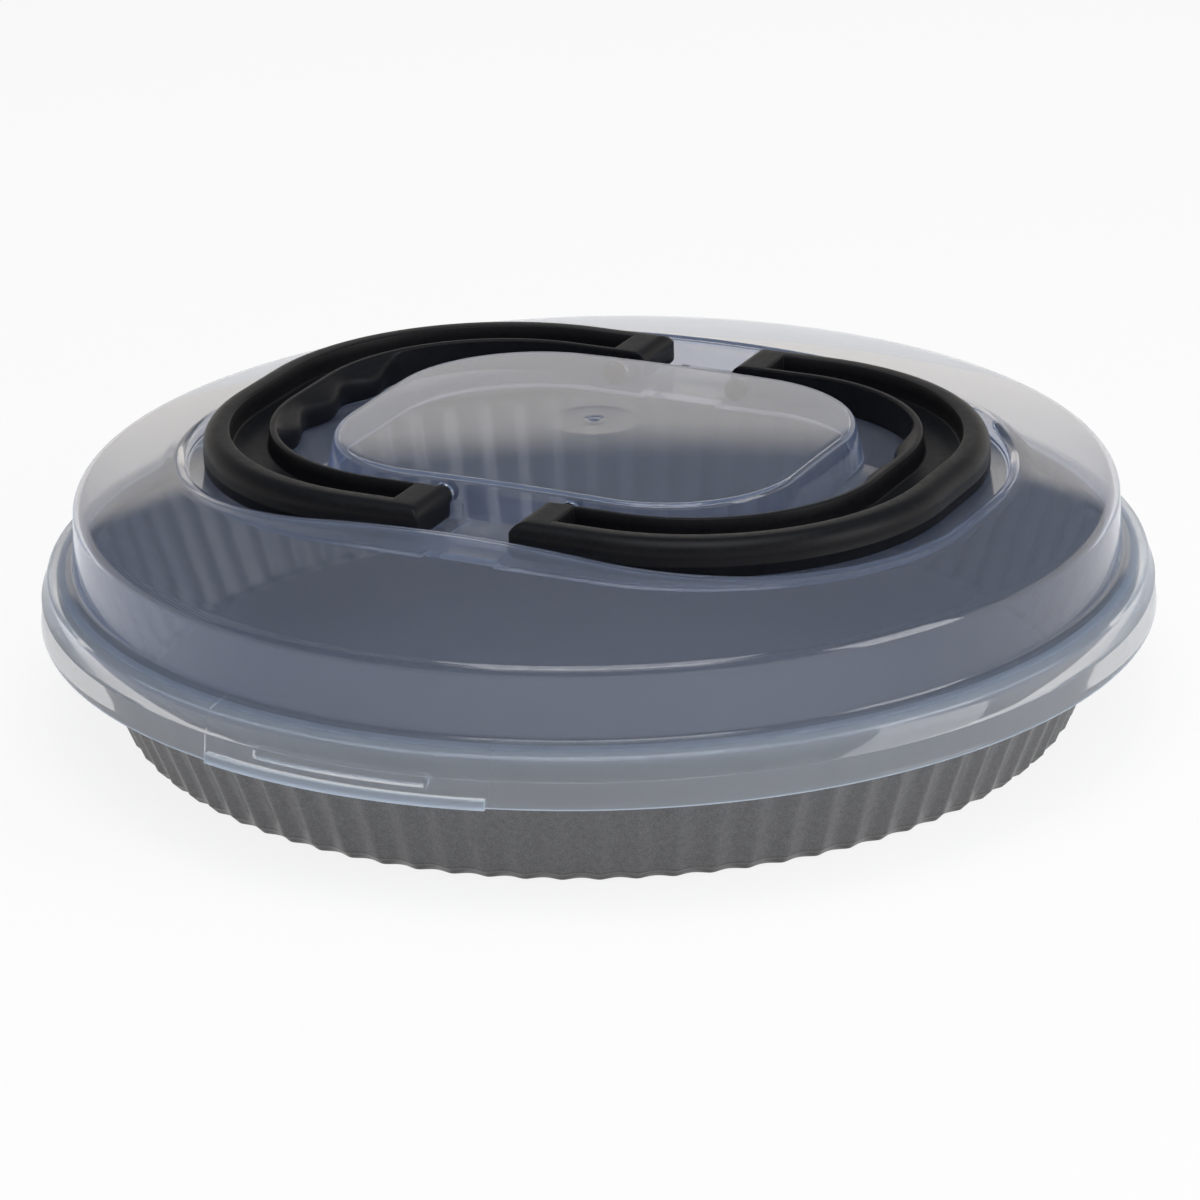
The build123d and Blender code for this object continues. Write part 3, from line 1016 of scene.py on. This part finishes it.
def underside(low):
    """Flat underside with rounded edges, from the finger side out to the outer wall."""
    start = low + UNDER_EDGE
    width = HANDLE_OUT - OUTER_UNDER_EDGE - start
    points = [flat(low + 0.07, 0.45), flat(low + 0.26, 0.17), flat(start, 0.0)]
    points += [flat(start + width * share, 0.0) for share in (0.25, 0.5, 0.75)]
    edge = ((OUTER_UNDER_EDGE, 0.0), (0.45, 0.12), (0.12, 0.45), (0.0, OUTER_UNDER_EDGE))
    return points + [flat(HANDLE_OUT - inset, rise) for inset, rise in edge]


def outer_side():
    """Outer wall with its parting line, and the large round up to the top."""
    points = [flat(HANDLE_OUT + size, height) for size, height in ((0.0, 3.30), (0.09, 3.42), (0.0, 3.54))]
    middle = flat(HANDLE_OUT - OUTER_ROUND, HANDLE_HEIGHT - OUTER_ROUND)
    for step in range(OUTER_ROUND_STEPS + 1):
        turn = math.radians(90.0 * step / OUTER_ROUND_STEPS)
        points.append(middle + flat(math.cos(turn), math.sin(turn)) * OUTER_ROUND)
    return points


def channel_section():
    """The channel from its outer mouth down one wall, over the floor and up to its inner mouth."""
    top = HANDLE_HEIGHT
    low = top - CHANNEL_DEPTH
    outer = CHANNEL_OUT - CHANNEL_RUN
    inner = CHANNEL_IN + CHANNEL_RUN
    mouth = ((0.55, 0.0), (0.32, 0.06), (0.12, 0.20), (0.0, 0.45))
    foot = ((0.04, 0.6), (-0.17, 0.17), (-0.6, 0.0))
    points = [flat(CHANNEL_OUT + past, top - drop) for past, drop in mouth]
    points.append(flat(CHANNEL_OUT - CHANNEL_RUN * 0.5, top - CHANNEL_DEPTH * 0.5))
    points += [flat(outer + past, low + rise) for past, rise in foot]
    points += [flat(outer + (inner - outer) * share, low) for share in (0.33, 0.67)]
    points += [flat(inner - past, low + rise) for past, rise in foot[::-1]]
    points.append(flat(CHANNEL_IN + CHANNEL_RUN * 0.5, top - CHANNEL_DEPTH * 0.5))
    points += [flat(CHANNEL_IN - past, top - drop) for past, drop in mouth[::-1]]
    return points


def handle_section(swell):
    """Closed section across the handle: reach from the core and height above its underside."""
    points = finger_side(swell)
    return points + underside(points[-1].x) + outer_side() + channel_section()


def channel_limit(x):
    """How deep the channel may be at a distance along the arm, near its end wall."""
    if x <= CHANNEL_END[0][0]:
        return 0.0
    for (a, low), (b, high) in zip(CHANNEL_END, CHANNEL_END[1:]):
        if x <= b:
            return low + (high - low) * (x - a) / (b - a)
    return FAR


def handle_frames():
    """Core place, direction and distance along the arm of each section, from tip to tip."""
    core = flat(CORE_X, -CORE_Y)
    places = [TIP_X + TIP_ROUND * (1 - math.cos(math.radians(angle))) for angle in TIP_ANGLES]
    frames = [(flat(x, -CORE_Y), flat(0.0, -1.0), x) for x in (*places, *ARM_PLACES)]
    frames.append((core, flat(0.0, -1.0), FAR))
    for step in range(1, BEND_STEPS + 1):
        turn = math.pi / 2 * step / BEND_STEPS
        frames.append((core, flat(math.sin(turn), -math.cos(turn)), FAR))
    mirrored = [(flat(c.x, -c.y), flat(n.x, -n.y), x) for c, n, x in frames[-2::-1]]
    for step in range(1, GRIP_STEPS + 1):
        frames.append((flat(CORE_X, -CORE_Y + 2 * CORE_Y * step / GRIP_STEPS), flat(1.0, 0.0), FAR))
    return frames + mirrored


def drawn_in(distance, radius):
    """How far a round has drawn in at a distance from the end."""
    if distance >= radius:
        return 0.0
    return radius - math.sqrt(max(0.0, radius ** 2 - (radius - distance) ** 2))


def handle_rings():
    """Sections of the right handle from one tip round the grip to the other."""
    top = HANDLE_HEIGHT
    rings = []
    for core, out, x in handle_frames():
        swell = wave_swell((core + out * CREST_REACH).y) if core.x >= CORE_X else 0.0
        limit = channel_limit(x)
        drop = drawn_in(x - TIP_X, TIP_ROUND)
        pinch = drawn_in(x - TIP_X, TIP_SIDE_ROUND)
        ring = []
        for reach, rise in handle_section(swell):
            in_channel = CHANNEL_IN - CHANNEL_MOUTH < reach < CHANNEL_OUT + CHANNEL_MOUTH
            if in_channel and rise > CHANNEL_LEAST_Z:
                rise = max(rise, top - limit)
            rise = min(max(rise, drop), top - drop)
            if pinch > 0.0:
                reach = min(max(reach, CREST_REACH - swell + pinch), HANDLE_OUT - pinch)
            ring.append(raised(core + out * reach, HANDLE_Z + rise))
        rings.append(ring)
    return rings


def pin_rings(end):
    """Round pin from inside the arm to its chamfered end in the island's wall."""
    turns = [2 * math.pi * side / PIN_SIDES for side in range(PIN_SIDES)]
    return [
        [
            Vector((PIVOT_X + radius * math.cos(turn), end * y, PIVOT_Z + radius * math.sin(turn)))
            for turn in turns
        ]
        for y, radius in PIN_RINGS
    ]


def make_handles():
    """Right handle with its pins, and its mirrored copy."""
    right = ring_skin("right_carry_handle", handle_rings())
    bpy.ops.object.mode_set(mode="EDIT")
    bpy.ops.mesh.select_all(action="SELECT")
    bpy.ops.mesh.remove_doubles(threshold=MERGE_GAP * MM)
    bpy.ops.mesh.dissolve_degenerate(threshold=FLAT_GAP * MM)
    bpy.ops.mesh.normals_make_consistent(inside=False)
    bpy.ops.object.mode_set(mode="OBJECT")
    pins = [ring_skin("hinge_pin", pin_rings(end)) for end in (-1, 1)]
    choose(right)
    for pin in pins:
        pin.select_set(True)
    bpy.ops.object.join()
    bpy.ops.object.shade_smooth_by_angle(angle=SMOOTH_ANGLE)
    left = bpy.data.objects.new("left_carry_handle", right.data.copy())
    bpy.context.scene.collection.objects.link(left)
    choose(left)
    bpy.ops.object.mode_set(mode="EDIT")
    bpy.ops.mesh.select_all(action="SELECT")
    bpy.ops.transform.resize(value=(-1.0, 1.0, 1.0), center_override=(0.0, 0.0, 0.0))
    bpy.ops.mesh.normals_make_consistent(inside=False)
    bpy.ops.object.mode_set(mode="OBJECT")
    return right, left


def dress(piece, material, node_name, body):
    paint(piece, material)
    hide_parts(node_name)
    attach(piece, body)


paint(nodes["pan"], pan_coating())
lid = make_lid()
dress(lid, clear_lid(), "lid", "lid_body")
right_handle, left_handle = make_handles()
black = handle_plastic()
dress(right_handle, black, "handle_right", "right_handle_body")
dress(left_handle, black, "handle_left", "left_handle_body")
